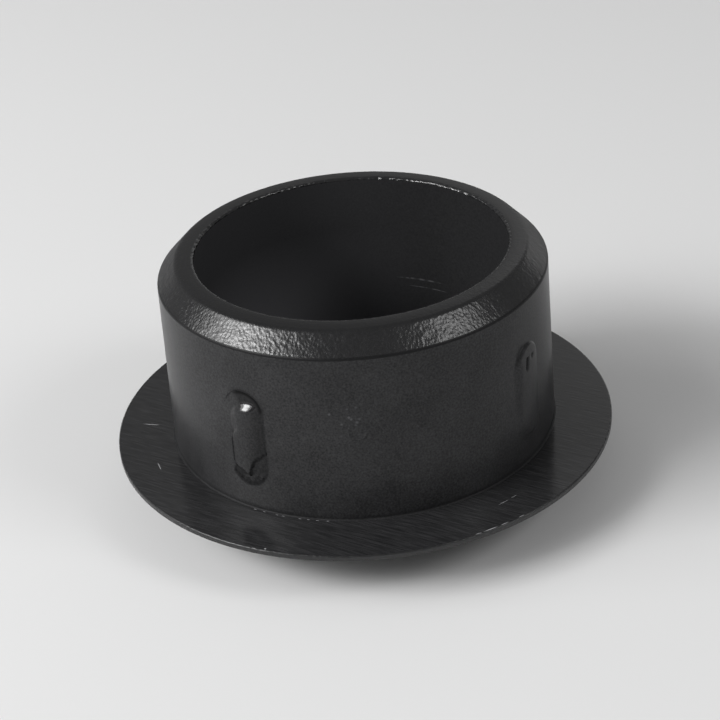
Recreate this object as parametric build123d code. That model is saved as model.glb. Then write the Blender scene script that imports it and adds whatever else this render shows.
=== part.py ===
"""Push-in plastic hole plug: a domed head, a hollow skirt and four snap ribs, moulded as one piece.

The plug rests on its dome with the open end up. The origin is the dome's apex, and +Z runs
along the plug's axis to the open end. Sizes are in millimetres and degrees. Heights named
"above the seat" are measured from the head's flat underside, which bears on the panel.
"""
from build123d import *
import os
from math import cos, radians, sqrt, tan

# The panel that the plug closes
HOLE_DIAMETER = 14.0      # round hole in the sheet
PANEL_THICKNESS = 0.8     # sheet that is held between the head and the ribs
HOLE_CLEARANCE = 0.07     # radial gap between the skirt's land and the hole

# Head
HEAD_OVERLAP = 2.0        # how far the head reaches past the hole's edge, all round
HEAD_HEIGHT = 2.0         # dome apex to seat
EDGE_THICKNESS = 0.18     # upright land round the head's thin edge
EDGE_BREAK = 0.05         # where that land meets the seat

# Skirt
SKIRT_LENGTH = 6.9        # seat to rim
SKIRT_DRAFT = 0.9         # taper of the outside, so that the mould opens
ROOT_RADIUS = 0.17        # inside corner between the skirt and the seat
WALL_THICKNESS = 1.34     # at the rim, measured before the lead-in is taken off
LIP_WIDTH = 0.64          # flat ring left at the rim, inside the lead-in
LEAD_IN_LENGTH = 0.8      # cone that centres the plug in the hole
LIP_ROUND = 0.4           # rolls the lip over into the cone
SHOULDER_ROUND = 0.28     # rolls the cone over into the skirt
MOUTH_BREAK = 0.06        # edge between the lip and the bore

# Hollow
BORE_DRAFT = 0.5          # taper of the core, wider at the mouth
FLOOR_THICKNESS = 1.2     # the floor is dished, so that the head is as thick all over
FLOOR_RADIUS = 0.8        # corner between the bore and the floor

# Snap ribs, crowned and round-ended
RIB_COUNT = 4
RIB_CLEARANCE = 0.1       # from the sheet's far face to the ribs
RIB_LENGTH = 3.7
RIB_WIDTH = 1.6
RIB_PROUD = 0.16          # height over the skirt

# Stub of the tunnel gate, broken off flush but for a trace
GATE_DIAMETER = 0.75
GATE_PROUD = 0.03
GATE_HEIGHT = 3.45        # above the seat
GATE_ANGLE = 33.3         # round the skirt from the rib on -Y, towards +X

# Worked out from the sizes above
HEAD_RADIUS = HOLE_DIAMETER / 2 + HEAD_OVERLAP
DOME_RISE = HEAD_HEIGHT - EDGE_THICKNESS
DOME_RADIUS = (HEAD_RADIUS**2 + DOME_RISE**2) / (2 * DOME_RISE)
LAND_RADIUS = HOLE_DIAMETER / 2 - HOLE_CLEARANCE
LAND_HEIGHT = HEAD_HEIGHT + PANEL_THICKNESS
RIM_HEIGHT = HEAD_HEIGHT + SKIRT_LENGTH
LEAD_IN_HEIGHT = RIM_HEIGHT - LEAD_IN_LENGTH


def skirt_radius(height):
    """Outer radius of the drafted skirt at a height over the apex, above its straight land."""
    return LAND_RADIUS - (height - LAND_HEIGHT) * tan(radians(SKIRT_DRAFT))


LIP_OUTER_RADIUS = skirt_radius(RIM_HEIGHT) - WALL_THICKNESS + LIP_WIDTH
BORE_RADIUS = skirt_radius(RIM_HEIGHT) - WALL_THICKNESS


def corner(section, radius, height):
    """The corner of a section nearest to a place given by its radius and height."""
    return section.vertices().sort_by_distance((radius, height))[0]


def outer_section():
    """Half section of the plug without its hollow: dome, thin edge, seat, skirt and lead-in."""
    dome = TangentArc((0, 0), (HEAD_RADIUS, DOME_RISE), tangent=(1, 0))
    side = Polyline(
        dome @ 1,
        (HEAD_RADIUS, HEAD_HEIGHT),
        (LAND_RADIUS, HEAD_HEIGHT),
        (LAND_RADIUS, LAND_HEIGHT),
        (skirt_radius(LEAD_IN_HEIGHT), LEAD_IN_HEIGHT),
        (LIP_OUTER_RADIUS, RIM_HEIGHT),
        (0, RIM_HEIGHT),
        (0, 0),
    )
    section = make_face([dome, side])
    section = chamfer(corner(section, HEAD_RADIUS, HEAD_HEIGHT), EDGE_BREAK)
    section = fillet(corner(section, LAND_RADIUS, HEAD_HEIGHT), ROOT_RADIUS)
    section = fillet(corner(section, LIP_OUTER_RADIUS, RIM_HEIGHT), LIP_ROUND)
    return fillet(corner(section, skirt_radius(LEAD_IN_HEIGHT), LEAD_IN_HEIGHT), SHOULDER_ROUND)


def hollow_section():
    """Half section of the hollow: a drafted bore over a floor that runs parallel to the dome."""
    narrowing = RIM_HEIGHT * tan(radians(BORE_DRAFT))
    bore = make_face(
        Polyline(
            (0, 0), (BORE_RADIUS - narrowing, 0), (BORE_RADIUS, RIM_HEIGHT), (0, RIM_HEIGHT), close=True
        )
    )
    above_floor = Pos(0, DOME_RADIUS) * Circle(DOME_RADIUS - FLOOR_THICKNESS)
    section = bore & above_floor
    floor_corner = section.vertices().sort_by(Axis.X)[-2]
    return fillet(floor_corner, FLOOR_RADIUS)


def rib():
    """One crowned rib, standing along Z at the origin with its flank buried in the wall.

    It is a round-ended bar: its radius is the one that gives the rib its width and height
    over the curved skirt, and its straight part leaves room for the round ends.
    """
    middle = LAND_HEIGHT + RIB_CLEARANCE + RIB_LENGTH / 2
    wall = skirt_radius(middle)
    crown = wall + RIB_PROUD - sqrt(wall**2 - (RIB_WIDTH / 2) ** 2)
    radius = (crown**2 + (RIB_WIDTH / 2) ** 2) / (2 * crown)
    end_reach = sqrt(2 * radius * RIB_PROUD - RIB_PROUD**2)
    half_straight = RIB_LENGTH / 2 - end_reach
    bar = Cylinder(radius, 2 * half_straight)
    bar += Pos(0, 0, half_straight) * Sphere(radius)
    bar += Pos(0, 0, -half_straight) * Sphere(radius)
    return Pos(wall + RIB_PROUD - radius, 0, middle) * Rot(0, -SKIRT_DRAFT, 0) * bar


def gate_stub():
    """The trace of the gate: a small round land that stands a little over the skirt."""
    height = HEAD_HEIGHT + GATE_HEIGHT
    length = WALL_THICKNESS / 2 + GATE_PROUD
    middle = skirt_radius(height) + GATE_PROUD - length / 2
    stub = Pos(middle, 0, height) * Rot(0, 90, 0) * Cylinder(GATE_DIAMETER / 2, length)
    return Rot(0, 0, -90 + GATE_ANGLE) * stub


def hole_plug():
    """The whole moulding."""
    body = revolve(Plane.XZ * outer_section(), Axis.Z)
    for place in PolarLocations(0, RIB_COUNT):
        body += place * rib()
    body += gate_stub()
    body -= revolve(Plane.XZ * hollow_section(), Axis.Z)
    mouth = body.edges().filter_by(GeomType.CIRCLE).group_by(Axis.Z)[-1].sort_by(SortBy.RADIUS)[0]
    return chamfer(mouth, MOUTH_BREAK)


os.makedirs("parts", exist_ok=True)
export_step(hole_plug(), "parts/hole_plug.step")
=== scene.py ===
"""Looks of a push-in plastic hole plug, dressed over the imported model.

The plug lies on its dome with the open end up. It is one black nylon moulding whose faces keep
the finish of the mould parts that made them: spark-eroded grain on the dome and the lead-in,
satin on the skirt, grinding lines on the seat and a plain core pin in the hollow.
Lengths are written in millimetres and turned to metres where a mesh or a node needs them.
"""
from __future__ import annotations

import logging
import math
from dataclasses import dataclass, field
from enum import Enum

import bpy
from mathutils import Matrix, Vector, noise


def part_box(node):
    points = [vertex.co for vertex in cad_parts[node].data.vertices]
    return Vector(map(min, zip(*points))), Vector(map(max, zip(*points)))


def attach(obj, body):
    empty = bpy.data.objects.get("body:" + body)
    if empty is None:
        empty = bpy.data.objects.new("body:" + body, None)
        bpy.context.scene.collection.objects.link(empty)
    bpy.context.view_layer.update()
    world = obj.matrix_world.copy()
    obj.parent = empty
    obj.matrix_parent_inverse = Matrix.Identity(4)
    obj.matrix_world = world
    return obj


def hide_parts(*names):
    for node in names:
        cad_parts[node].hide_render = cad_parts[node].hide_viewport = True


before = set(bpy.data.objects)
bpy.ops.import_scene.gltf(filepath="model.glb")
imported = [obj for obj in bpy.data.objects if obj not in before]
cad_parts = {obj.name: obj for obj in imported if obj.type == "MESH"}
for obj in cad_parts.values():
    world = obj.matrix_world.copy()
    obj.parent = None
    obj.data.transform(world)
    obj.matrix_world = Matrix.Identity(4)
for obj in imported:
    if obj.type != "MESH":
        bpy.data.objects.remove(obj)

LOG = logging.getLogger("hole_plug")
MM = 0.001
SUPPORT = 0.02  # from an edge of the outline to the point that holds its shape
NODE = "hole_plug"
Tree = bpy.types.NodeTree
Socket = bpy.types.NodeSocket


class Zone(Enum):
    """Faces of the moulding that came off different parts of the mould."""

    DOME = 0
    EDGE = 1
    SEAT = 2
    SKIRT = 3
    RIB = 4
    SHOULDER = 5
    RIM = 6
    MOUTH = 7
    BORE = 8
    BURNISHED = 9


# --------------------------------------------------------------------------- nodes and colours


def linear(hex_colour: str) -> tuple[float, float, float, float]:
    """Turns an sRGB hex colour into the linear colour that a shader takes.

    Args:
        hex_colour: Six hex digits, with or without a leading hash.

    Returns:
        Red, green, blue and an alpha of one.
    """
    digits = hex_colour.lstrip("#")
    channels = [int(digits[i:i + 2], 16) / 255 for i in (0, 2, 4)]
    # these numbers are the sRGB standard's own curve
    red, green, blue = [c / 12.92 if c <= 0.04045 else ((c + 0.055) / 1.055) ** 2.4 for c in channels]
    return red, green, blue, 1.0


def add_node(tree: Tree, kind: str, inputs: dict | tuple = (), **settings) -> bpy.types.Node:
    """Adds one node, with its settings and its links.

    Args:
        tree: Node tree that gets the node.
        kind: Blender's name for the kind of node.
        inputs: The sockets or plain values that go into it, in the order of its inputs or by
            their names.
        **settings: Properties of the node itself, such as its operation.

    Returns:
        The new node.
    """
    node = tree.nodes.new(kind)
    for name, value in settings.items():
        setattr(node, name, value)
    for key, value in inputs.items() if isinstance(inputs, dict) else enumerate(inputs):
        if isinstance(value, Socket):
            tree.links.new(value, node.inputs[key])
        else:
            node.inputs[key].default_value = value
    return node


def smooth_step(share: float) -> float:
    """Eases from 0 to 1 as the share goes from 0 to 1, and stays level outside them."""
    t = min(max(share, 0.0), 1.0)
    return t * t * (3 - 2 * t)


# --------------------------------------------------------------------------- finishes


@dataclass(frozen=True)
class Finish:
    """What one surface is made of and how it was made."""

    name: str

    def shader(self, tree: Tree) -> bpy.types.Node:
        """Builds the finish's nodes and returns its shader."""
        raise NotImplementedError

    def material(self) -> bpy.types.Material:
        """Builds the finish as a material.

        Returns:
            The new material.
        """
        material = bpy.data.materials.new(self.name)
        material.use_nodes = True
        tree = material.node_tree
        tree.nodes.clear()
        add_node(tree, "ShaderNodeOutputMaterial", {"Surface": self.shader(tree).outputs[0]})
        return material


@dataclass(frozen=True)
class Mark:
    """A short thin mark on the moulding, such as a scratch, a nick or a drag line.

    It lies at an angle and a radius about the plug's axis and runs round it, unless it is turned.
    An upright one is on a wall, so its width is up and down. Its edge fades between two shares of
    its reach.
    """

    angle: float
    radius: float
    length: float
    width: float
    turn: float = 0.0
    height: float = 2.0
    upright: bool = False
    fade: tuple[float, float] = (0.7, 1.2)

    def place(self) -> tuple[float, float, float]:
        """Its middle, in millimetres."""
        a = math.radians(self.angle)
        return self.radius * math.cos(a), self.radius * math.sin(a), self.height

    def scale(self) -> tuple[float, float, float]:
        """What turns its own three lengths, out, round and up, to shares of its reach."""
        along, across = 2 / self.length, 2 / self.width
        return (0.0, along, across) if self.upright else (across, along, 0.0)


@dataclass(frozen=True)
class Nylon(Finish):
    """Black injection-moulded nylon 6/6, coloured right through with carbon black.

    To the eye it is a near-black with a faint grey haze, never a true black, and its gloss is
    that of the mould steel that it was pressed against.
    """

    colour: str = "#1b1b1c"
    pale: str = "#232324"
    roughness: float = 0.35
    ior: float = 1.53
    specular: float = 0.5
    mottle: tuple[float, float] = (0.3, 0.7)

    def place_mm(self, tree: Tree, scale: tuple[float, float, float] = (1, 1, 1),
                 turn: float = 0.0) -> Socket:
        """Object coordinates in units of a pattern's real size.

        Args:
            tree: Tree that gets the nodes.
            scale: How many pattern units go to a millimetre along each axis.
            turn: Degrees that the pattern is turned about the plug's axis.

        Returns:
            The socket with the scaled coordinates.
        """
        here = add_node(tree, "ShaderNodeTexCoord").outputs["Object"]
        turned = add_node(tree, "ShaderNodeVectorRotate", {"Vector": here, "Angle": math.radians(-turn)},
                          rotation_type="Z_AXIS").outputs[0]
        per_metre = tuple(s / MM for s in scale)
        return add_node(tree, "ShaderNodeVectorMath", (turned, per_metre), operation="MULTIPLY").outputs[0]

    def cloud(self, tree: Tree, size_mm: float, detail: float = 2.0, rough: float = 0.5) -> Socket:
        """Soft noise whose lumps are about size_mm across, from 0 to 1."""
        place = self.place_mm(tree, (1 / size_mm,) * 3)
        return add_node(tree, "ShaderNodeTexNoise",
                        {"Vector": place, "Scale": 1.0, "Detail": detail, "Roughness": rough}).outputs["Fac"]

    def layered(self, tree: Tree, colour: Socket | tuple, layers: tuple[tuple[Socket, str], ...]) -> Socket:
        """Lays colours over one another.

        Args:
            tree: Tree that gets the nodes.
            colour: The colour at the bottom.
            layers: The share of each spot that a layer covers, and the layer's hex colour.

        Returns:
            The socket with the colour that shows.
        """
        for share, over in layers:
            colour = add_node(tree, "ShaderNodeMix", {"Factor": share, "A": colour, "B": linear(over)},
                              data_type="RGBA").outputs["Result"]
        return colour

    def mottled(self, tree: Tree, pattern: Socket) -> Socket:
        """The nylon's colour, which goes to its pale haze as a pattern goes through the mottle's range."""
        amount = add_node(tree, "ShaderNodeMapRange", (pattern, *self.mottle)).outputs[0]
        return self.layered(tree, linear(self.colour), ((amount, self.pale),))

    def marked(self, tree: Tree, marks: tuple[Mark, ...]) -> Socket:
        """Finds where the marks are.

        Args:
            tree: Tree that gets the nodes.
            marks: The marks.

        Returns:
            The socket with the share of each spot that a mark covers, from 0 to 1.
        """
        total = 0.0
        here = self.place_mm(tree)
        for mark in marks:
            local = add_node(tree, "ShaderNodeVectorMath", (here, mark.place()), operation="SUBTRACT")
            turned = add_node(tree, "ShaderNodeVectorRotate",
                              {"Vector": local.outputs[0], "Angle": -math.radians(mark.angle + mark.turn)},
                              rotation_type="Z_AXIS").outputs[0]
            scaled = add_node(tree, "ShaderNodeVectorMath", (turned, mark.scale()), operation="MULTIPLY")
            reach = add_node(tree, "ShaderNodeVectorMath", (scaled.outputs[0],), operation="LENGTH")
            share = add_node(tree, "ShaderNodeMapRange", (reach.outputs["Value"], *mark.fade, 1, 0))
            total = add_node(tree, "ShaderNodeMath", (total, share.outputs[0]),
                             operation="MAXIMUM").outputs[0]
        return total

    def shader(self, tree: Tree) -> bpy.types.Node:
        """The plain plastic shader that each finish then roughens."""
        return add_node(tree, "ShaderNodeBsdfPrincipled",
                        {"Base Color": linear(self.colour), "Roughness": self.roughness, "IOR": self.ior,
                         "Specular IOR Level": self.specular})


@dataclass(frozen=True)
class ErodedNylon(Nylon):
    """Nylon moulded against spark-eroded steel: a scaly even grain that breaks a highlight to sparkles.

    The grain of the real steel is near 0.03 mm. It is drawn two to six times as coarse, so that
    it shows at all.
    """

    grain_mm: float = 0.09
    depth_mm: float = 0.011
    swell_mm: float = 0.3
    swell_depth_mm: float = 0.012
    stretch: float = 1.8
    glancing: float = 0.65
    glance_range: tuple[float, float] = (0.5, 0.85)

    def calm(self, tree: Tree) -> Socket | float:
        """Share of each spot where the grain is rubbed down, from 0 to 1."""
        return 0.0

    def base_colour(self, tree: Tree, fine: Socket, calm: Socket | float) -> Socket:
        """The colour that goes with the grain's noise."""
        return self.mottled(tree, fine)

    def shader(self, tree: Tree) -> bpy.types.Node:
        """Builds the grain from craters of one size over a slow swell.

        Seen at a glancing angle the grain hides its own valleys, which dulls it.

        Args:
            tree: Tree that gets the nodes.

        Returns:
            The shader.
        """
        shader = super().shader(tree)
        calm = self.calm(tree)
        left = add_node(tree, "ShaderNodeMath", (1.0, calm), operation="SUBTRACT").outputs[0]
        facing = add_node(tree, "ShaderNodeLayerWeight", {"Blend": 0.5}).outputs["Facing"]
        dulled = add_node(tree, "ShaderNodeMapRange",
                          (facing, *self.glance_range, self.roughness, self.glancing))
        tree.links.new(dulled.outputs[0], shader.inputs["Roughness"])
        per_mm = 1 / self.grain_mm
        place = self.place_mm(tree, (per_mm, per_mm, per_mm / self.stretch))
        craters = add_node(tree, "ShaderNodeTexVoronoi", {"Vector": place, "Scale": 1.0, "Smoothness": 0.6},
                           feature="SMOOTH_F1").outputs["Distance"]
        fine = add_node(tree, "ShaderNodeTexNoise",
                        {"Vector": place, "Scale": 0.8, "Detail": 3.0, "Roughness": 0.55,
                         "Distortion": 0.6}).outputs["Fac"]
        swell = self.cloud(tree, self.swell_mm, detail=1.0)
        grain = add_node(tree, "ShaderNodeMath", (craters, fine), operation="ADD").outputs[0]
        low = add_node(tree, "ShaderNodeBump",
                       {"Height": swell, "Distance": self.swell_depth_mm * MM, "Strength": left}).outputs[0]
        bump = add_node(tree, "ShaderNodeBump",
                        {"Height": grain, "Distance": self.depth_mm * MM, "Normal": low, "Strength": left})
        tree.links.new(bump.outputs[0], shader.inputs["Normal"])
        tree.links.new(self.base_colour(tree, fine, calm), shader.inputs["Base Color"])
        return shader


@dataclass(frozen=True)
class RimNylon(ErodedNylon):
    """The eroded lead-in, whose grain dies out over the roll and is darker and calmer on the flat lip."""

    cone_radius_mm: float = 6.32
    lip_radius_mm: float = 6.0
    most_calm: float = 0.72
    lip_colour: str = "#151516"

    def calm(self, tree: Tree) -> Socket:
        """Finds where the grain dies out.

        Args:
            tree: Tree that gets the nodes.

        Returns:
            The socket with the calm, which is full on the lip and none on the cone.
        """
        flat = self.place_mm(tree, (1, 1, 0))
        radius = add_node(tree, "ShaderNodeVectorMath", (flat,), operation="LENGTH").outputs["Value"]
        return add_node(tree, "ShaderNodeMapRange",
                        (radius, self.lip_radius_mm, self.cone_radius_mm, self.most_calm, 0)).outputs[0]

    def base_colour(self, tree: Tree, fine: Socket, calm: Socket | float) -> Socket:
        """The grain's colour, which goes to the lip's darker one where the grain dies out."""
        return self.layered(tree, super().base_colour(tree, fine, calm), ((calm, self.lip_colour),))


@dataclass(frozen=True)
class SatinNylon(Nylon):
    """Nylon off a stoned cavity wall: a soft gloss, a fine mottle and a faint cloud of flow marks.

    Round the gate, where the melt came in cold, it has a few pale flecks of splay. Painted shade,
    a black colour with no gloss, darkens the ribs' cracks, creases and one flank, and the
    skirt's root. The pits that a fine stone leaves are near 0.02 mm across, and the skin is
    drawn at 0.07 mm, so that it shows.
    """

    mottle: tuple[float, float] = (0.5, 0.92)
    cloud_mm: float = 1.6
    flow_share: float = 0.4
    flow_range: tuple[float, float] = (0.3, 0.7)
    skin_mm: float = 0.07
    skin_depth_mm: float = 0.001
    gloss_swing: tuple[float, float] = (-0.03, 0.04)
    fleck_mm: float = 0.26
    fleck_range: tuple[float, float] = (0.08, 0.24)
    splay_mm: tuple[float, float, float] = (3.3, -5.95, 5.9)
    splay_reach_mm: tuple[float, float] = (0.3, 1.1)
    fleck: str = "#505052"
    # painted shade: the black, dull colour laid into cracks, creases, one rib flank and the skirt's root
    shade_paint: str = "#0e0e0f"
    shade_paint_roughness: float = 0.85

    def splay(self, tree: Tree) -> Socket:
        """Scatters the flecks near the gate.

        Args:
            tree: Tree that gets the nodes.

        Returns:
            The socket with the flecks, from 0 to 1.
        """
        here = self.place_mm(tree)
        spots = add_node(tree, "ShaderNodeTexVoronoi",
                         {"Vector": self.place_mm(tree, (1 / self.fleck_mm,) * 3), "Scale": 1.0})
        near = add_node(tree, "ShaderNodeVectorMath", (here, self.splay_mm), operation="DISTANCE")
        share = add_node(tree, "ShaderNodeMapRange", (near.outputs["Value"], *self.splay_reach_mm, 1, 0))
        fleck = add_node(tree, "ShaderNodeMapRange", (spots.outputs["Distance"], *self.fleck_range, 1, 0))
        return add_node(tree, "ShaderNodeMath", (share.outputs[0], fleck.outputs[0]),
                        operation="MULTIPLY").outputs[0]

    def shader(self, tree: Tree) -> bpy.types.Node:
        """Builds the satin: roughness clouds, a barely raised skin, the flecks and the painted shade.

        Args:
            tree: Tree that gets the nodes.

        Returns:
            The shader.
        """
        shader = super().shader(tree)
        flow = self.cloud(tree, self.cloud_mm, detail=3.0, rough=0.6)
        skin = self.cloud(tree, self.skin_mm, rough=0.6)
        # painted shade: the mesh's share of it darkens the colour and dulls the gloss
        painted_shade = add_node(tree, "ShaderNodeAttribute", attribute_name="painted_shade").outputs["Fac"]
        swing = [self.roughness + part for part in self.gloss_swing]
        gloss = add_node(tree, "ShaderNodeMapRange", (flow, *self.flow_range, *swing)).outputs[0]
        dulled = add_node(tree, "ShaderNodeMix", {"Factor": painted_shade, "A": gloss, "B": self.shade_paint_roughness},
                          data_type="FLOAT")
        tree.links.new(dulled.outputs["Result"], shader.inputs["Roughness"])
        bump = add_node(tree, "ShaderNodeBump", {"Height": skin, "Distance": self.skin_depth_mm * MM})
        tree.links.new(bump.outputs[0], shader.inputs["Normal"])
        both = add_node(tree, "ShaderNodeMath", (flow, self.flow_share, skin), operation="MULTIPLY_ADD")
        colour = self.layered(tree, self.mottled(tree, both.outputs[0]),
                              ((self.splay(tree), self.fleck), (painted_shade, self.shade_paint)))
        tree.links.new(colour, shader.inputs["Base Color"])
        return shader


@dataclass(frozen=True)
class CoreNylon(Nylon):
    """Nylon off the core pin: dull, with painted light that makes it paler towards its floor on one side.

    Two broken drag lines run a short way round the wall, paler than the rest. The pin's own
    turning marks are near 0.03 mm apart. The mottle that stands for them is drawn at 0.08 mm, so
    that it shows.
    """

    skin_mm: float = 0.08
    radius_mm: float = 5.5
    # painted light: the wall is made paler, more so deeper down and on one side
    painted_light_turn: float = 185.0
    painted_light_side: tuple[float, float] = (-0.1, 1.0)
    painted_light_depth_mm: tuple[float, float] = (6.9, 2.4)
    painted_light_share: tuple[float, float] = (0.22, 1.0)
    haze: str = "#69696c"
    drag_dot_mm: float = 0.2
    drag_dots: tuple[float, float, float, float] = (0.42, 0.6, 0.15, 1.0)
    drag: str = "#525254"
    drags: tuple[Mark, ...] = (
        Mark(97, 5.47, 1.9, 0.07, height=4.76, upright=True),
        Mark(94, 5.47, 1.6, 0.04, height=4.44, upright=True),
    )

    def shader(self, tree: Tree) -> bpy.types.Node:
        """Builds the bore's colour from a fine mottle, the painted light and the drag lines.

        Args:
            tree: Tree that gets the nodes.

        Returns:
            The shader.
        """
        shader = super().shader(tree)
        place = add_node(tree, "ShaderNodeSeparateXYZ", (self.place_mm(tree, turn=self.painted_light_turn),))
        reach = [share * self.radius_mm for share in self.painted_light_side]
        side = add_node(tree, "ShaderNodeMapRange", (place.outputs["X"], *reach),
                        interpolation_type="SMOOTHSTEP").outputs[0]
        depth = add_node(tree, "ShaderNodeMapRange",
                         (place.outputs["Z"], *self.painted_light_depth_mm, *self.painted_light_share)).outputs[0]
        dots = add_node(tree, "ShaderNodeMapRange",
                        (self.cloud(tree, self.drag_dot_mm), *self.drag_dots)).outputs[0]
        # painted light on the bore's wall, and the drag lines
        painted_lit, dragged = (add_node(tree, "ShaderNodeMath", pair, operation="MULTIPLY").outputs[0]
                          for pair in ((side, depth), (self.marked(tree, self.drags), dots)))
        plain = self.mottled(tree, self.cloud(tree, self.skin_mm, rough=0.6))
        colour = self.layered(tree, plain, ((painted_lit, self.haze), (dragged, self.drag)))
        tree.links.new(colour, shader.inputs["Base Color"])
        return shader


@dataclass(frozen=True)
class GroundNylon(Nylon):
    """Nylon off the ground face of the mould: fine straight grinding lines under a clear gloss.

    A few short scratches show pale, where the skin is torn. The nicks on its brim and the beads
    of flash along the skirt's root are painted pale too, which is a painted glint on them. The
    wheel's lines are near 0.03 mm apart and are drawn twice as far apart, so that they show.
    """

    mottle: tuple[float, float] = (0.35, 0.68)
    line_mm: float = 0.07
    run_mm: float = 1.0
    depth_mm: float = 0.0035
    turn: float = 4.0
    # the pale of torn skin on the scratches, and a painted glint on the nicks and beads
    torn: str = "#a8a8aa"
    scratches: tuple[Mark, ...] = (
        Mark(213, 7.85, 0.6, 0.035, turn=77), Mark(234.5, 7.83, 0.45, 0.03, turn=-3),
        Mark(-20.5, 7.92, 0.4, 0.018), Mark(-17, 7.9, 0.25, 0.014),
    )
    # painted glints on nicks along the brim
    glinting_nicks: tuple[Mark, ...] = (
        Mark(-32, 8.94, 0.2, 0.03), Mark(-29, 8.93, 0.5, 0.035), Mark(-25.5, 8.93, 0.3, 0.025),
        Mark(-21, 8.94, 0.22, 0.025), Mark(-78.5, 8.9, 0.07, 0.06),
    )
    # painted glints on beads of flash along the skirt's root
    glinting_bead: tuple[float, float, float] = (6.99, 0.1, 0.035)
    glinting_bead_angles: tuple[float, ...] = (-89, -86, -82, -80, -75, -72.5, -70, -67)

    def shader(self, tree: Tree) -> bpy.types.Node:
        """Builds the lines as noise drawn out along the grinding, and lays the marks over them.

        Args:
            tree: Tree that gets the nodes.

        Returns:
            The shader.
        """
        shader = super().shader(tree)
        place = self.place_mm(tree, (1 / self.run_mm, 1 / self.line_mm, 1.0), self.turn)
        lines = add_node(tree, "ShaderNodeTexNoise",
                         {"Vector": place, "Scale": 1.0, "Detail": 2.0, "Roughness": 0.6}).outputs["Fac"]
        bump = add_node(tree, "ShaderNodeBump", {"Height": lines, "Distance": self.depth_mm * MM})
        tree.links.new(bump.outputs[0], shader.inputs["Normal"])
        glinting_beads = tuple(Mark(angle, *self.glinting_bead) for angle in self.glinting_bead_angles)
        marked = self.marked(tree, self.scratches + self.glinting_nicks + glinting_beads)
        colour = self.layered(tree, self.mottled(tree, lines), ((marked, self.torn),))
        tree.links.new(colour, shader.inputs["Base Color"])
        return shader


@dataclass(frozen=True)
class StudioSweep(Finish):
    """Matt white paper under the plug, which falls off to grey away from the lamps' pool of light."""

    name: str = "white_paper_sweep"
    colour: str = "#e6e6e6"
    far_colour: str = "#b0b0b0"
    pool_mm: float = 165.0
    fall_mm: float = 200.0
    middle_mm: tuple[float, float, float] = (80.0, 110.0, 0.0)

    def shader(self, tree: Tree) -> bpy.types.Node:
        """Builds the paper.

        Args:
            tree: Tree that gets the nodes.

        Returns:
            The shader.
        """
        here = add_node(tree, "ShaderNodeTexCoord").outputs["Object"]
        middle = tuple(value * MM for value in self.middle_mm)
        away = add_node(tree, "ShaderNodeVectorMath", (here, middle), operation="DISTANCE").outputs["Value"]
        share = add_node(tree, "ShaderNodeMapRange", (away, self.pool_mm * MM, self.fall_mm * MM),
                         interpolation_type="SMOOTHSTEP").outputs[0]
        colour = add_node(tree, "ShaderNodeMix",
                          {"Factor": share, "A": linear(self.colour), "B": linear(self.far_colour)},
                          data_type="RGBA")
        return add_node(tree, "ShaderNodeBsdfDiffuse", {"Color": colour.outputs["Result"]})


# --------------------------------------------------------------------------- ribs and gate


def bell(distance: float, width: float) -> float:
    """Falls from 1 on a line to nothing on both sides of it."""
    return math.exp(-(distance / width) ** 2)


@dataclass
class Pad:
    """A raised round-ended pad on the skirt, such as a snap rib or the gate's trace.

    Its outline is every point at one distance from a short upright line, so the mesh round it is
    made of rings at set distances from that line, which keeps its edge crisp. A spot on it is
    given by its distances round the skirt and up from the pad's middle, in millimetres.
    """

    angle: float
    middle: float
    half_line: float
    half_width: float
    proud: float = 0.19
    columns: int = 6
    margin: float = 0.45

    def way(self, across: float, up: float) -> tuple[Vector, float]:
        """Finds where a spot lies from the nearest point of the pad's upright line.

        Args:
            across: Distance round the skirt from the pad's middle.
            up: Height over the pad's middle.

        Returns:
            The direction and the distance.
        """
        foot = max(-self.half_line, min(self.half_line, up))
        way = Vector((across, up - foot))
        length = way.length
        return (way / length if length > 1e-9 else Vector((0.0, 0.0))), length

    def rise(self, across: float, up: float) -> float:
        """Height of a spot over the skirt's own surface."""
        raise NotImplementedError

    def burnished(self, across: float, up: float) -> bool:
        """Whether a spot is rubbed bright."""
        return False

    def painted_shade(self, across: float, up: float) -> float:
        """Share of painted shade, a black colour, that a spot holds."""
        return 0.0


@dataclass
class GateTrace(Pad):
    """The trace of the gate: a barely proud round land with a dished break and a hairline round it."""

    proud: float = 0.015
    columns: int = 4
    margin: float = 0.4
    shoulder: float = 0.08
    hairline: float = 0.004
    dish: float = 0.03

    def rise(self, across: float, up: float) -> float:
        """Works out the height of the land, less the hairline and the dish.

        Args:
            across: Distance round the skirt from the trace's middle.
            up: Height over the trace's middle.

        Returns:
            Millimetres over the skirt's own surface.
        """
        inside = self.half_width - self.way(across, up)[1]
        land = self.proud * smooth_step(inside / self.shoulder) - self.hairline * bell(inside + 0.01, 0.04)
        return land - self.dish * smooth_step((inside - 0.04) / 0.14)


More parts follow.
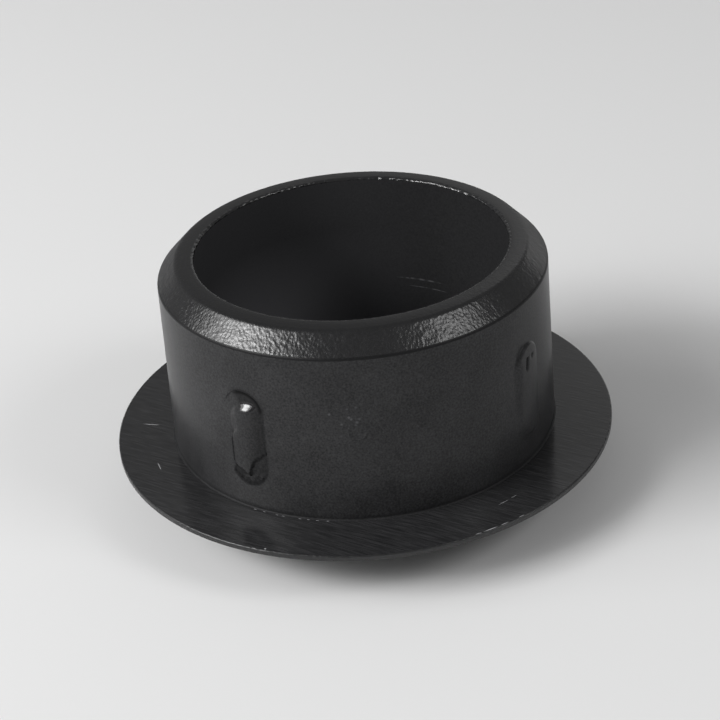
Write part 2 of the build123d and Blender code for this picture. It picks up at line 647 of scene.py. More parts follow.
@dataclass
class SnapRib(Pad):
    """A snap rib: a leaning bar with a blunt nose at its top and a long slope down its right flank.

    The ridge is where the bar stands highest. The nose is the steep step near the top, behind a
    shallow shelf. Painted shade, a black colour, darkens the crease down the lower left side and
    the crook over the nose.
    """

    ridge: float = -0.05
    left_fall: float = 0.25
    lean: float = 0.35
    edge_run: float = 0.08
    top_run: float = 0.55
    foot_run: float = 0.25
    shelf: float = 0.03
    nose_across: float = 0.2
    nose_up: float = 1.44
    nose_bow: float = 0.8
    nose_run: float = 0.33
    crack_depth: float = 0.07
    crease_inset: float = 0.13

    def leaned(self, across: float, up: float) -> float:
        """Distance across the rib, with its left side drawn in along the waist."""
        waist = smooth_step((1.2 - up) / 0.9) * smooth_step((up + 1.5) / 0.4)
        return across if across > 0 else across * (1 + self.lean * waist)

    def spot(self, across: float, up: float) -> tuple[Vector, float]:
        """Direction of a spot from the rib's line, and how far inside the outline it lies."""
        way, distance = self.way(self.leaned(across, up), up)
        return way, self.half_width - distance

    def left_run(self, up: float) -> float:
        """How much longer than the right one the left edge's slope is at a height."""
        return self.top_run * smooth_step((up + 0.1) / 0.5)

    def nose_share(self, across: float, up: float) -> float:
        """Share of its height that the rib has: none on the shelf and all of it behind the nose."""
        line = self.nose_up - self.nose_bow * (across - self.nose_across) ** 2
        return smooth_step((line - up) / self.nose_run)

    def unworn(self, across: float, up: float) -> float:
        """Share of its height that wear has left of the rib."""
        return 1.0

    def rise(self, across: float, up: float) -> float:
        """Works out the height of the bar, less the shelf and the cracks.

        Args:
            across: Distance round the skirt from the rib's middle.
            up: Height over the rib's middle.

        Returns:
            Millimetres over the skirt's own surface.
        """
        x = self.leaned(across, up)
        way, inside = self.spot(across, up)
        if inside <= -0.15:
            return 0.0
        right = max(x - self.ridge, 0.0) / (self.half_width - self.ridge)
        left = max(self.ridge - x, 0.0) / (self.half_width + self.ridge)
        crown = max(1 - right ** 2 - self.left_fall * left ** 2, 0.0)
        run = self.edge_run + max(-way.x, 0.0) * self.left_run(up) + max(-way.y, 0.0) * self.foot_run
        edge = smooth_step((inside + 0.01) / run)
        nose = self.nose_share(x, up)
        shelf = self.shelf * smooth_step(inside / 0.06) * smooth_step((up - 1.1) / 0.4) * (1 - nose)
        bar = self.proud * crown * edge * nose * self.unworn(across, up)
        return bar - shelf - self.crack_depth * self.cracks(across, up)

    def burnished(self, across: float, up: float) -> bool:
        """Whether a spot lies on the burnished patch of the nose."""
        middle = self.nose_up - self.nose_run / 2 + 0.03
        return ((across - self.nose_across) / 0.3) ** 2 + ((up - middle) / 0.14) ** 2 < 1

    def waver(self, across: float, up: float) -> float:
        """How far a crack strays from its line."""
        return 0.03 * noise.noise(Vector((across / 0.11, up / 0.11, 7.0)))

    def cracks(self, across: float, up: float) -> float:
        """Finds the crease that runs down the lower left side.

        Args:
            across: Distance round the skirt from the rib's middle.
            up: Height over the rib's middle.

        Returns:
            How deep in the crease the spot lies, from 0 to 1.
        """
        way, inside = self.spot(across, up)
        low_left = smooth_step(-way.x / 0.5) * smooth_step((0.4 - up) / 0.4)
        return 0.8 * low_left * bell(inside - self.crease_inset + self.waver(across, up), 0.09)

    def crook(self, across: float, up: float) -> float:
        """Finds the painted shade over and behind the nose.

        Args:
            across: Distance round the skirt from the rib's middle.
            up: Height over the rib's middle.

        Returns:
            Share of painted shade, from 0 to 1.
        """
        way, inside = self.spot(across, up)
        behind = 0.55 * (inside > 0.05) * (1 - self.nose_share(across, up))
        over = smooth_step((way.x + 0.75) / 0.5) * smooth_step((way.y + 0.15) / 0.4)
        return over * max(bell(inside - 0.09, 0.12), behind)

    def painted_shade(self, across: float, up: float) -> float:
        """Share of painted shade, a black colour, that a spot holds, in the cracks and in the crook."""
        outside = self.spot(across, up)[1] < -0.1
        return 0.0 if outside else max(self.crook(across, up), self.cracks(across, up))


@dataclass
class TornRib(SnapRib):
    """The rib whose foot is torn off below a ragged line, with painted shade on the rough floor that is left.
    """

    tear: tuple = ((-0.8, -0.85), (-0.54, -0.95), (-0.3, -1.1), (-0.1, -1.2), (0.12, -1.34),
                   (0.2, -1.05), (0.3, -0.8), (0.45, -0.65), (0.62, -0.57), (0.8, -0.42))

    def tear_line(self, across: float) -> float:
        """Finds the torn line.

        Args:
            across: Distance round the skirt from the rib's middle.

        Returns:
            Its height over the rib's middle.
        """
        for (x0, y0), (x1, y1) in zip(self.tear, self.tear[1:]):
            if x0 <= across <= x1:
                return y0 + (y1 - y0) * (across - x0) / (x1 - x0)
        return self.tear[-1][1]

    def unworn(self, across: float, up: float) -> float:
        """Works out what the tear has left of the rib.

        Args:
            across: Distance round the skirt from the rib's middle.
            up: Height over the rib's middle.

        Returns:
            Share of the rib's height, which is lumpy under the torn line.
        """
        gone = smooth_step((self.tear_line(across) - up) / 0.09)
        lump = noise.noise(Vector((across / 0.16, up / 0.16, 3.0)))
        return 1.0 - gone * (0.55 + 0.3 * lump)

    def cracks(self, across: float, up: float) -> float:
        """How deep a spot lies in the crease or in the torn line."""
        line = 0.5 * bell(self.tear_line(across) - up + self.waver(across, up), 0.06)
        return max(super().cracks(across, up), line * (self.spot(across, up)[1] > 0))

    def painted_shade(self, across: float, up: float) -> float:
        """Adds the painted shade under the torn line and down the right flank.

        Args:
            across: Distance round the skirt from the rib's middle.
            up: Height over the rib's middle.

        Returns:
            Share of painted shade, from 0 to 1.
        """
        inside = self.spot(across, up)[1]
        # painted shade on the rough floor under the torn line and down the right flank
        below = smooth_step((self.tear_line(across) - up) / 0.1) * smooth_step((inside + 0.04) / 0.1)
        foot = (0.35 + 0.4 * smooth_step((0.1 - across) / 0.5)) * below
        flank = 0.35 * smooth_step(across / 0.6) * smooth_step(inside / 0.05)
        return max(super().painted_shade(across, up), foot, flank)


@dataclass
class WornRib(SnapRib):
    """The rib that is worn low and has lost its nose, with a short dark crack and a spot beside it."""

    proud: float = 0.12
    ridge: float = -0.3
    left_fall: float = 0.0
    lean: float = 0.0
    top_run: float = 0.05
    low_run: float = 0.3
    low_body: float = 0.8

    def left_run(self, up: float) -> float:
        """How much longer than the right one the left edge's slope is at a height."""
        return self.low_run * smooth_step((1.72 - up) / 0.6) + super().left_run(up)

    def nose_share(self, across: float, up: float) -> float:
        """All of the height everywhere, as there is no nose."""
        return 1.0

    def burnished(self, across: float, up: float) -> bool:
        """Never, as there is no nose."""
        return False

    def unworn(self, across: float, up: float) -> float:
        """Share of its height that wear has left of the rib, less of it lower down."""
        return self.low_body + (1 - self.low_body) * smooth_step((up - 0.5) / 0.8)

    def cracks(self, across: float, up: float) -> float:
        """Finds the upright crack and the spot.

        Args:
            across: Distance round the skirt from the rib's middle.
            up: Height over the rib's middle.

        Returns:
            How deep in either of them the spot lies, from 0 to 1.
        """
        length = smooth_step((1.42 - up) / 0.08) * smooth_step((up - 0.82) / 0.15)
        crack = length * bell(across + 0.08 + 0.1 * (1.3 - up), 0.07)
        return max(crack, 0.8 * bell(across - 0.28, 0.08) * bell(up - 1.28, 0.08))

    def crook(self, across: float, up: float) -> float:
        """Finds the thin line of painted shade inside the upper left edge.

        Args:
            across: Distance round the skirt from the rib's middle.
            up: Height over the rib's middle.

        Returns:
            Share of painted shade, from 0 to 1.
        """
        way, inside = self.spot(across, up)
        top_left = 0.3 * smooth_step(-way.x / 0.4) * smooth_step((way.y - 0.1) / 0.3)
        return top_left * smooth_step(inside / 0.05) * smooth_step((0.2 - inside) / 0.1)


# --------------------------------------------------------------------------- the moulding


@dataclass
class HolePlug:
    """The whole moulding, turned from one outline, with its ribs and gate trace worked in.

    Sizes are in millimetres and degrees, and the main ones repeat the construction model's. The
    ribs go from +X round to -Y, a quarter turn apart. From segments on, the fields set how
    fine the mesh is: a collar is the band of skirt round a pad that has rings of its own.
    """

    head_radius: float = 9.0
    head_height: float = 2.0
    edge_thickness: float = 0.18
    edge_round: float = 0.05
    land_radius: float = 6.93
    land_height: float = 2.8
    rim_height: float = 8.9
    draft: float = 0.9
    root_round: float = 0.06
    wall: float = 1.34
    lip_width: float = 0.655
    lip_fall: float = 0.03
    lead_in: float = 0.75
    shoulder_round: float = 0.17
    lip_round: float = 0.28
    mouth_round: float = 0.1
    bore_draft: float = 0.5
    floor_thickness: float = 1.2
    floor_round: float = 0.8
    ribs: tuple[type[SnapRib], ...] = (WornRib, SnapRib, SnapRib, TornRib)
    rib_length: float = 3.7
    rib_width: float = 1.6
    rib_gap: float = 0.1
    gate_diameter: float = 0.75
    gate_height: float = 3.45
    gate_angle: float = 33.3
    # painted shade round the skirt's root, where it meets the seat
    root_shade_paint: float = 0.4
    root_shade_paint_height: float = 0.05
    segments: int = 240
    row: float = 0.16
    dome_steps: int = 34
    dome_first: float = 0.03
    lip_steps: int = 6
    corner_steps: int = 8
    floor_steps: int = 14
    collar: float = 0.12
    collar_shares: tuple[float, ...] = (0.7, 0.4, 0.18)
    pad_step: float = 0.03
    pad_edge_step: float = 0.02
    pad_edge_reach: float = 0.06
    vertices: list = field(default_factory=list)
    faces: list = field(default_factory=list)
    zones: list = field(default_factory=list)
    pad_spots: dict = field(default_factory=dict)
    shade_paint: dict = field(default_factory=dict)

    def skirt_radius(self, height: float) -> float:
        """Outer radius of the skirt at a height, straight on its land and drafted above it."""
        return self.land_radius - max(height - self.land_height, 0.0) * math.tan(math.radians(self.draft))

    def dome_arc(self) -> tuple[float, float]:
        """Height of the foot of the thin edge, where the dome ends, and the dome's radius."""
        rise = self.head_height - self.edge_thickness
        return rise, (self.head_radius ** 2 + rise ** 2) / (2 * rise)

    def straight(self, start: tuple, end: tuple, step: float, support: float = SUPPORT) -> list:
        """Points along a straight of the outline, with one close to each end to hold its shape.

        Args:
            start: Radius and height where it starts.
            end: Radius and height where it ends.
            step: Longest distance between two points.
            support: Distance of the first and last inner points from the ends.

        Returns:
            Points from start to end.
        """
        a, b = Vector(start), Vector(end)
        length = (b - a).length
        count = max(1, round((length - 2 * support) / step))
        shares = [0.0] + [(support + (length - 2 * support) * i / count) / length for i in range(count + 1)]
        return [tuple(a.lerp(b, share)) for share in shares] + [tuple(b)]

    def bend(self, corner: tuple, before: tuple, after: tuple, radius: float, count: int) -> list:
        """Points of the round that replaces a corner of the outline.

        Args:
            corner: Radius and height of the sharp corner.
            before: A point on the straight that leads in.
            after: A point on the straight that leads out.
            radius: Radius of the round.
            count: Number of pieces that it is made of.

        Returns:
            Points from one tangent point to the other.
        """
        c = Vector(corner)
        u = (Vector(before) - c).normalized()
        v = (Vector(after) - c).normalized()
        half = u.angle(v) / 2
        centre = c + (u + v).normalized() * radius / math.sin(half)
        reach = radius / math.tan(half)
        first, last = c + u * reach - centre, c + v * reach - centre
        turn = first.angle_signed(last)
        spin = [Matrix.Rotation(-turn * i / count, 2) for i in range(count + 1)]
        return [tuple(centre + m @ first) for m in spin]

    def dome(self) -> list:
        """Sets points along the dome.

        Returns:
            Points from the apex, with one close to it, to just short of the thin edge.
        """
        radius = self.dome_arc()[1]
        reach = math.asin((self.head_radius - SUPPORT / 2) / radius)
        first, steps = self.dome_first, self.dome_steps
        angles = [0.0] + [reach * (first + (1 - first) * i / steps) for i in range(steps + 1)]
        return [(radius * math.sin(a), radius - radius * math.cos(a)) for a in angles]

    def outline(self) -> list:
        """The turned outline as bands.

        Returns:
            A list of pairs of zone and points. Each band ends where the next one starts.
        """
        foot, brim = (self.head_radius, self.dome_arc()[0]), (self.head_radius, self.head_height)
        root = (self.land_radius, self.head_height)
        lead_foot = (self.skirt_radius(self.rim_height - self.lead_in), self.rim_height - self.lead_in)
        bore = self.skirt_radius(self.rim_height) - self.wall
        lip, mouth = (bore + self.lip_width, self.rim_height - self.lip_fall), (bore, self.rim_height)
        narrowing = (self.rim_height - self.head_height) * math.tan(math.radians(self.bore_draft))
        deep = (bore - narrowing, self.head_height)
        brim_bend = self.bend(brim, foot, root, self.edge_round, count=4)
        root_bend = self.bend(root, brim, lead_foot, self.root_round, count=6)
        lead_bend = self.bend(lead_foot, root, lip, self.shoulder_round, count=8)
        lip_bend = self.bend(lip, lead_foot, mouth, self.lip_round, count=10)
        mouth_bend = self.bend(mouth, lip, deep, self.mouth_round, count=4)
        return [
            (Zone.DOME, self.dome()),
            (Zone.EDGE, self.straight(foot, brim_bend[0], step=0.06, support=SUPPORT / 2) + brim_bend[1:]),
            (Zone.SEAT, self.straight(brim_bend[-1], root_bend[0], step=0.2)),
            (Zone.SKIRT, root_bend + self.skirt_rows(root_bend[-1], lead_bend[0]) + lead_bend[:2]),
            (Zone.SHOULDER, lead_bend[1:]),
            (Zone.RIM, self.straight(lead_bend[-1], lip_bend[0], step=0.1) + lip_bend[1:]
             + self.crown(lip_bend[-1], mouth_bend[0]) + mouth_bend[:1]),
            (Zone.MOUTH, mouth_bend),
            (Zone.BORE, self.floor(mouth_bend[-1], deep)),
        ]

    def crown(self, outer: tuple, inner: tuple) -> list:
        """Sets points across the lip, which bows up a little between its two rounds.

        Args:
            outer: Radius and height where the lip starts.
            inner: Radius and height where it ends.

        Returns:
            The points between the two.
        """
        a, b = Vector(outer), Vector(inner)
        shares = [i / self.lip_steps for i in range(1, self.lip_steps)]
        return [tuple(a.lerp(b, t) + Vector((0.0, self.lip_fall * t * (1 - t)))) for t in shares]

    def skirt_rows(self, low: tuple, high: tuple) -> list:
        """Sets even rows up the skirt, which the pads' patches share.

        Args:
            low: Radius and height where the skirt starts.
            high: Radius and height where it ends.

        Returns:
            The points between the two, with one close to each.
        """
        count = round((high[1] - low[1]) / self.row)
        heights = [low[1] + (high[1] - low[1]) * i / count for i in range(1, count)]
        heights = [low[1] + SUPPORT] + heights + [high[1] - SUPPORT]
        return [(self.skirt_radius(z), z) for z in heights]

    def floor(self, top: tuple, deep: tuple) -> list:
        """Sets points down the bore, round its corner and across the dished floor.

        Args:
            top: Radius and height where the bore starts.
            deep: Radius and height of a place low on the bore's wall.

        Returns:
            Points from the mouth to the axis.
        """
        dome_radius = self.dome_arc()[1]
        dish = dome_radius - self.floor_thickness
        reach = dish - self.floor_round
        wall_at = deep[0] - self.floor_round
        centre = dome_radius - math.sqrt(reach ** 2 - wall_at ** 2)
        level, tilt = math.radians(90), math.asin(wall_at / reach)
        turns = [level - (level - tilt) * i / self.corner_steps for i in range(self.corner_steps + 1)]
        corner = [(wall_at + self.floor_round * math.sin(a), centre - self.floor_round * math.cos(a))
                  for a in turns]
        angles = [tilt * (1 - i / self.floor_steps) for i in range(1, self.floor_steps)]
        dished = [(dish * math.sin(a), dome_radius - dish * math.cos(a)) for a in angles]
        return self.straight(top, corner[0], step=0.3) + corner[1:] + dished + [(0.0, self.floor_thickness)]

    def pads(self) -> list[Pad]:
        """Places the snap ribs and the gate's trace.

        Returns:
            The ribs, from +X round, and then the trace.
        """
        half_width = self.rib_width / 2
        size = (self.land_height + self.rib_gap + self.rib_length / 2, self.rib_length / 2 - half_width,
                half_width)
        ribs = [kind(360 / len(self.ribs) * i, *size) for i, kind in enumerate(self.ribs)]
        return ribs + [GateTrace(270 + self.gate_angle, self.head_height + self.gate_height, 0.0,
                                 self.gate_diameter / 2)]

    def point(self, radius: float, angle: float, height: float) -> tuple[float, float, float]:
        """A place on the plug in metres, from its radius, its angle in degrees and its height."""
        a = math.radians(angle)
        return radius * math.cos(a) * MM, radius * math.sin(a) * MM, height * MM

    def add_vertex(self, place: tuple) -> int:
        """Keeps a vertex and returns its number."""
        self.vertices.append(place)
        return len(self.vertices) - 1

    def add_face(self, corners: list[int], zone: Zone) -> None:
        """Keeps a face and its zone."""
        self.faces.append(corners)
        self.zones.append(zone.value)

    def turn_outline(self) -> None:
        """Turns the outline round the axis, from the apex to the floor's middle."""
        rings: list = []
        band_zones: list[Zone] = []
        # the skirt's root gets painted shade up to this height
        shade_painted_below = self.head_height + self.root_round + self.root_shade_paint_height
        for zone, points in self.outline():
            for radius, height in points:
                if rings and (Vector((radius, height)) - Vector(rings[-1][:2])).length < 1e-5:
                    continue
                count = 1 if radius < 1e-6 else self.segments
                numbers = [self.add_vertex(self.point(radius, 360 * k / count, height)) for k in range(count)]
                if rings:
                    band_zones.append(zone)
                rings.append((radius, height, numbers))
                if zone is Zone.SKIRT and height < shade_painted_below:
                    self.shade_paint.update(dict.fromkeys(numbers, self.root_shade_paint))
        holes = self.patch_faces(rings)
        for b, zone in enumerate(band_zones):
            low, high = rings[b][2], rings[b + 1][2]
            for k in range(self.segments):
                if (b, k) not in holes:
                    n = (k + 1) % self.segments
                    corners = [low[k % len(low)], low[n % len(low)], high[n % len(high)], high[k % len(high)]]
                    self.add_face(list(dict.fromkeys(corners)), zone)

    def patch_faces(self, rings: list) -> set:
        """Fills the patch of skirt round each pad.

        Args:
            rings: The turned rings: radius, height and vertex numbers of each.

        Returns:
            The faces of the turned grid that the patches replace, as pairs of row and column.
        """
        holes = set()
        for pad in self.pads():
            reach = pad.half_line + pad.half_width + pad.margin
            rows = [i for i, ring in enumerate(rings)
                    if ring[0] > self.land_radius - self.wall / 2 and abs(ring[1] - pad.middle) <= reach]
            middle = round(pad.angle / 360 * self.segments)
            columns = list(range(middle - pad.columns, middle + pad.columns + 1))
            holes |= {(r, c % self.segments) for r in rows[:-1] for c in columns[:-1]}
            self.fill_patch(pad, rings, rows, columns)
        return holes

    def fill_patch(self, pad: Pad, rings: list, rows: list[int], columns: list[int]) -> None:
        """Joins the edge of a patch to its pad by rings at set distances from the pad's line.

        Args:
            pad: The pad in the patch's middle.
            rings: The turned rings.
            rows: Numbers of the rings that cross the patch.
            columns: Numbers of the patch's columns, which may pass the seam.
        """
        edge = [(rows[0], c) for c in columns] + [(r, columns[-1]) for r in rows[1:]]
        edge += [(rows[-1], c) for c in reversed(columns[:-1])]
        edge += [(r, columns[0]) for r in reversed(rows[1:-1])]
        step = 360 / self.segments
        scale = math.radians(1) * self.skirt_radius(pad.middle)
        spots = [Vector(((c * step - pad.angle) * scale, rings[r][1] - pad.middle)) for r, c in edge]
        previous = [rings[r][2][c % self.segments] for r, c in edge]
        for share in self.collar_shares:
            if share < self.collar_shares[0]:
                spots = [spot for a, b in zip(spots, spots[1:] + spots[:1]) for spot in (a, (a + b) / 2)]
            previous = self.add_ring(pad, previous, spots, share, -self.collar)
        depth = -self.collar
        while depth < pad.half_width - self.pad_step:
            previous = self.add_ring(pad, previous, spots, 0.0, depth)
            depth += self.pad_edge_step if abs(depth) < self.pad_edge_reach else self.pad_step
        self.close_pad(pad, previous, [max(-pad.half_line, min(pad.half_line, spot.y)) for spot in spots])

    def add_ring(self, pad: Pad, outside: list[int], spots: list[Vector], share: float,
                 depth: float) -> list[int]:
        """Adds one ring inside the last one and joins the two.

        Args:
            pad: The pad in the patch's middle.
            outside: Vertex numbers of the last ring.
            spots: Where the ring's rays to the pad's line start.
            share: Share of the way from the depth back to the rays' starts.
            depth: How far inside the pad's outline the ring lies, where the share is nothing.

        Returns:
            Vertex numbers of the new ring.
        """
        ring = []
        for spot in spots:
            way, reach = pad.way(spot.x, spot.y)
            inner = pad.half_width - depth
            distance = inner + (reach - inner) * share
            ring.append(self.pad_vertex(pad, spot - way * (reach - distance)))
        self.join_rings(pad, outside, ring)
        return ring

    def pad_vertex(self, pad: Pad, spot: Vector) -> int:
        """Adds a vertex on the skirt or the pad.

        Args:
            pad: The pad whose patch it is in.
            spot: Its distances round the skirt and up from the pad's middle.

        Returns:
            Its number.
        """
        height = pad.middle + spot.y
        radius = self.skirt_radius(height) + pad.rise(spot.x, spot.y)
        angle = pad.angle + math.degrees(spot.x / self.skirt_radius(pad.middle))
        number = self.add_vertex(self.point(radius, angle, height))
        self.pad_spots[number] = (spot.x, spot.y)
        # painted shade on the pad, in its cracks, creases and flank
        self.shade_paint[number] = pad.painted_shade(spot.x, spot.y)
        return number

    def add_pad_face(self, pad: Pad, corners: list[int]) -> None:
        """Keeps a face of a pad's patch, as burnished where the pad is rubbed bright.

        Args:
            pad: The pad.
            corners: Numbers of the face's vertices.
        """
        spots = [self.pad_spots[number] for number in corners if number in self.pad_spots]
        across, up = (sum(spot[k] for spot in spots) / len(spots) for k in (0, 1))
        self.add_face(corners, Zone.BURNISHED if pad.burnished(across, up) else Zone.RIB)

    def join_rings(self, pad: Pad, outside: list[int], inside: list[int]) -> None:
        """Joins two closed rings by a band of faces.

        Args:
            pad: The pad that they go round.
            outside: Vertex numbers of the outer ring.
            inside: Vertex numbers of the inner ring, as many or twice as many.
        """
        count, double = len(outside), len(inside) == 2 * len(outside)
        for i in range(count):
            n = (i + 1) % count
            near = [inside[2 * n], inside[2 * i + 1], inside[2 * i]] if double else [inside[n], inside[i]]
            self.add_pad_face(pad, [outside[i], outside[n]] + near)

    def close_pad(self, pad: Pad, ring: list[int], feet: list[float]) -> None:
        """Closes the innermost ring with a strip of faces along the pad's line.

        Args:
            pad: The pad.
            ring: Vertex numbers of the innermost ring.
            feet: Height of the nearest point of the pad's line to each of them.
        """
        keys = [round(foot, 6) for foot in feet]
        spine: dict[float, int] = {}
        for key, foot in zip(keys, feet):
            if key not in spine:
                spine[key] = self.pad_vertex(pad, Vector((0.0, foot)))
        for i in range(len(ring)):
            n = (i + 1) % len(ring)
            corners = [ring[i], ring[n], spine[keys[n]], spine[keys[i]]]
            self.add_pad_face(pad, list(dict.fromkeys(corners)))

    def build(self, finishes: dict[Zone, bpy.types.Material]) -> bpy.types.Object:
        """Makes the moulding's mesh and dresses its zones.

        Args:
            finishes: The material of each zone.

        Returns:
            The finished piece, in the frame's own place.
        """
        self.turn_outline()
        mesh = bpy.data.meshes.new("moulded_plug")
        mesh.from_pydata(self.vertices, [], self.faces)
        for zone in Zone:
            mesh.materials.append(finishes[zone])
        mesh.polygons.foreach_set("material_index", self.zones)
        mesh.polygons.foreach_set("use_smooth", [True] * len(self.faces))
        # painted shade of the ribs' cracks, creases and flank and of the skirt's root, per vertex
        painted_shade = mesh.attributes.new("painted_shade", "FLOAT", "POINT")
        painted_shade.data.foreach_set("value", [self.shade_paint.get(i, 0.0) for i in range(len(self.vertices))])
        mesh.validate()
        mesh.update()
        piece = bpy.data.objects.new("moulded_plug", mesh)
        bpy.context.scene.collection.objects.link(piece)
        return piece


# --------------------------------------------------------------------------- the studio


def direction(azimuth: float, elevation: float) -> Vector:
    """The way from the plug to a viewer: azimuth 0 stands on -Y and 90 on +X."""
    a, e = math.radians(azimuth), math.radians(elevation)
    return Vector((math.sin(a) * math.cos(e), -math.cos(a) * math.cos(e), math.sin(e)))


@dataclass(frozen=True)
class Glow:
    """A paler patch of the room, such as the far end of the paper or a wall that a lamp lights.

    It is full up to the inner angle from its middle and gone at the outer one. Its flatten
    squeezes it in height, so that it can be a band.
    """

    azimuth: float
    elevation: float
    inner: float
    outer: float
    level: float
    flatten: float = 1.0

    def light(self, tree: Tree, way: Socket) -> Socket:
        """Works out the light that the patch adds along a direction.

        Args:
            tree: The world's nodes.
            way: Socket with the direction.

        Returns:
            The socket with the light.
        """
        middle = tuple(direction(self.azimuth, self.elevation))
        gap = add_node(tree, "ShaderNodeVectorMath", (way, middle), operation="SUBTRACT").outputs[0]
        squeezed = add_node(tree, "ShaderNodeVectorMath", (gap, (1.0, 1.0, self.flatten)),
                            operation="MULTIPLY").outputs[0]
        length = add_node(tree, "ShaderNodeVectorMath", (squeezed,), operation="LENGTH").outputs["Value"]
        near, far = (2 * math.sin(math.radians(angle) / 2) for angle in (self.inner, self.outer))
        return add_node(tree, "ShaderNodeMapRange", (length, near, far, self.level, 0.0),
                        interpolation_type="SMOOTHSTEP").outputs[0]


@dataclass(frozen=True)
class Softbox:
    """A soft rectangular light that faces the plug. Lengths are in millimetres, power in watts."""

    name: str
    azimuth: float
    elevation: float
    distance: float
    width: float
    height: float
    power: float

    def build(self, target: Vector) -> None:
        """Makes the lamp.

        Args:
            target: Where it points.
        """
        data = bpy.data.lights.new(self.name, "AREA")
        data.shape = "RECTANGLE"
        data.size, data.size_y, data.energy = self.width * MM, self.height * MM, self.power
        lamp = bpy.data.objects.new(self.name, data)
        away = direction(self.azimuth, self.elevation)
        lamp.location = target + away * self.distance * MM
        lamp.rotation_mode = "QUATERNION"
        lamp.rotation_quaternion = (-away).to_track_quat("-Z", "Y")
        bpy.context.scene.collection.objects.link(lamp)


@dataclass
class Studio:
    """White paper, soft lights and a camera above the plug's open end."""

    azimuth: float = 35.5
    elevation: float = 29.73
    distance: float = 68.56
    roll: float = -4.67
    lens: float = 95.0
    aim: float = 4.2
    floor_side: float = 2400.0
    room: str = "#808080"

    def lights(self) -> list[Softbox]:
        """The soft lights, placed from the camera's own azimuth: the left one has a hot middle."""
        return [
            Softbox("left_softbox", self.azimuth - 75, 35, 262, 250, 150, 0.395),
            Softbox("left_softbox_middle", self.azimuth - 71, 35, 260, 128, 64, 0.39),
            Softbox("right_softbox", self.azimuth + 64, 40, 260, 95, 90, 0.145),
        ]

    def glows(self) -> list[Glow]:
        """The pale patches of the room, placed from the camera's own azimuth."""
        return [
            Glow(self.azimuth + 148, 3, 5, 38, 0.75, 4.0),
            Glow(self.azimuth + 163, 25, 4, 18, 0.35),
            Glow(self.azimuth + 180, 3, 6, 28, 0.3, 5.0),
        ]

    def build(self) -> None:
        """Sets the stage, the lights, the sky and the camera."""
        target = Vector((0, 0, self.aim * MM))
        for light in self.lights():
            light.build(target)
        self.build_floor()
        self.build_world()
        self.build_camera(target)

    def build_floor(self) -> None:
        """Lays the paper under the plug's lowest point."""
        half = self.floor_side / 2 * MM
        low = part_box(NODE)[0].z
        mesh = bpy.data.meshes.new("paper_sweep")
        mesh.from_pydata([(-half, -half, low), (half, -half, low), (half, half, low), (-half, half, low)],
                         [], [(0, 1, 2, 3)])
        mesh.materials.append(StudioSweep().material())
        floor = bpy.data.objects.new("paper_sweep", mesh)
        bpy.context.scene.collection.objects.link(floor)

    def build_world(self) -> None:
        """Fills the room with an even grey, and adds its pale patches."""
        world = bpy.data.worlds.new("studio_room")
        world.use_nodes = True
        tree = world.node_tree
        tree.nodes.clear()
        way = add_node(tree, "ShaderNodeTexCoord").outputs["Generated"]
        level = linear(self.room)[0]
        for glow in self.glows():
            level = add_node(tree, "ShaderNodeMath", (level, glow.light(tree, way)),
                             operation="ADD").outputs[0]
        sky = add_node(tree, "ShaderNodeBackground", {"Color": level, "Strength": 1.0})
        add_node(tree, "ShaderNodeOutputWorld", {"Surface": sky.outputs[0]})
        bpy.context.scene.world = world

    def build_camera(self, target: Vector) -> None:
        """Aims the camera at the plug.

        Args:
            target: Where it points.
        """
        data = bpy.data.cameras.new("camera")
        data.lens = self.lens
        data.clip_start, data.clip_end = 0.001, 10.0
        camera = bpy.data.objects.new("camera", data)
        away = direction(self.azimuth, self.elevation)
        camera.location = target + away * self.distance * MM
        camera.rotation_mode = "QUATERNION"
        level = (-away).to_track_quat("-Z", "Y")
        camera.rotation_quaternion = level @ Matrix.Rotation(math.radians(self.roll), 3, "Z").to_quaternion()
        bpy.context.scene.collection.objects.link(camera)
        bpy.context.scene.camera = camera


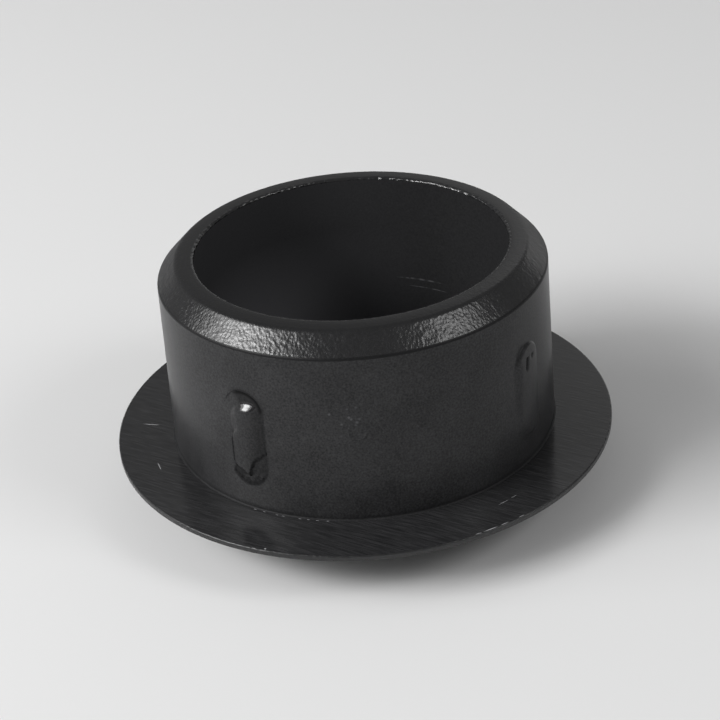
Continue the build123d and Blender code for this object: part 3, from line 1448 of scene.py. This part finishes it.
def finishes() -> dict[Zone, bpy.types.Material]:
    """Makes the finish of each zone of the moulding.

    Returns:
        The material of each zone.
    """
    satin = SatinNylon("nylon_satin_skirt", "#232324", "#3a3a3b", roughness=0.315, specular=0.14).material()
    return {
        # a dull black with a close even grain
        Zone.DOME: ErodedNylon("nylon_eroded_dome", roughness=0.42, specular=0.3, grain_mm=0.06,
                               depth_mm=0.004, swell_depth_mm=0.002, stretch=1.0, glancing=0.5).material(),
        # the parting line's land, whose fine flash glints here and there
        Zone.EDGE: ErodedNylon("nylon_parting_edge", roughness=0.3, grain_mm=0.16, depth_mm=0.02,
                               swell_depth_mm=0.01, stretch=1.0, glancing=0.4).material(),
        # dark streaks along the grinding, clear enough to mirror the skirt
        Zone.SEAT: GroundNylon("nylon_ground_seat", "#202021", "#343435", roughness=0.14).material(),
        # a soft sheen over a fine salt-and-pepper mottle
        Zone.SKIRT: satin,
        Zone.RIB: satin,
        # a dark line under the lead-in, painted shade in a darker, duller colour than its neighbours
        Zone.SHOULDER: Nylon("nylon_shoulder_painted_shade", "#171718", roughness=0.45, specular=0.18).material(),
        # a scaly skin that breaks the lamps to sparkles
        Zone.RIM: RimNylon("nylon_eroded_rim", roughness=0.24, grain_mm=0.095, depth_mm=0.009,
                           glancing=0.58).material(),
        # a thin broken glint round the bore
        Zone.MOUTH: ErodedNylon("nylon_eroded_mouth", roughness=0.15, grain_mm=0.2, depth_mm=0.038,
                                swell_depth_mm=0.03, stretch=1.0, glancing=0.2).material(),
        # dull, with painted light that makes it paler towards the floor on one side
        Zone.BORE: CoreNylon("nylon_core_bore", "#212122", "#2a2a2b", roughness=0.5,
                             specular=0.15).material(),
        # the rubbed nose of a rib, which flashes white
        Zone.BURNISHED: Nylon("nylon_burnished_nose", roughness=0.13).material(),
    }


def main() -> None:
    """Builds the plug and its studio, in order."""
    logging.basicConfig(level=logging.INFO, format="%(name)s: %(message)s")
    scene = bpy.context.scene
    scene.view_settings.view_transform = "Standard"
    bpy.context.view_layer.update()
    plug = HolePlug().build(finishes())
    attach(plug, "root")
    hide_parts(NODE)
    LOG.info("%s: %d faces", plug.name, len(plug.data.polygons))
    Studio().build()


if __name__ == "__main__":
    main()
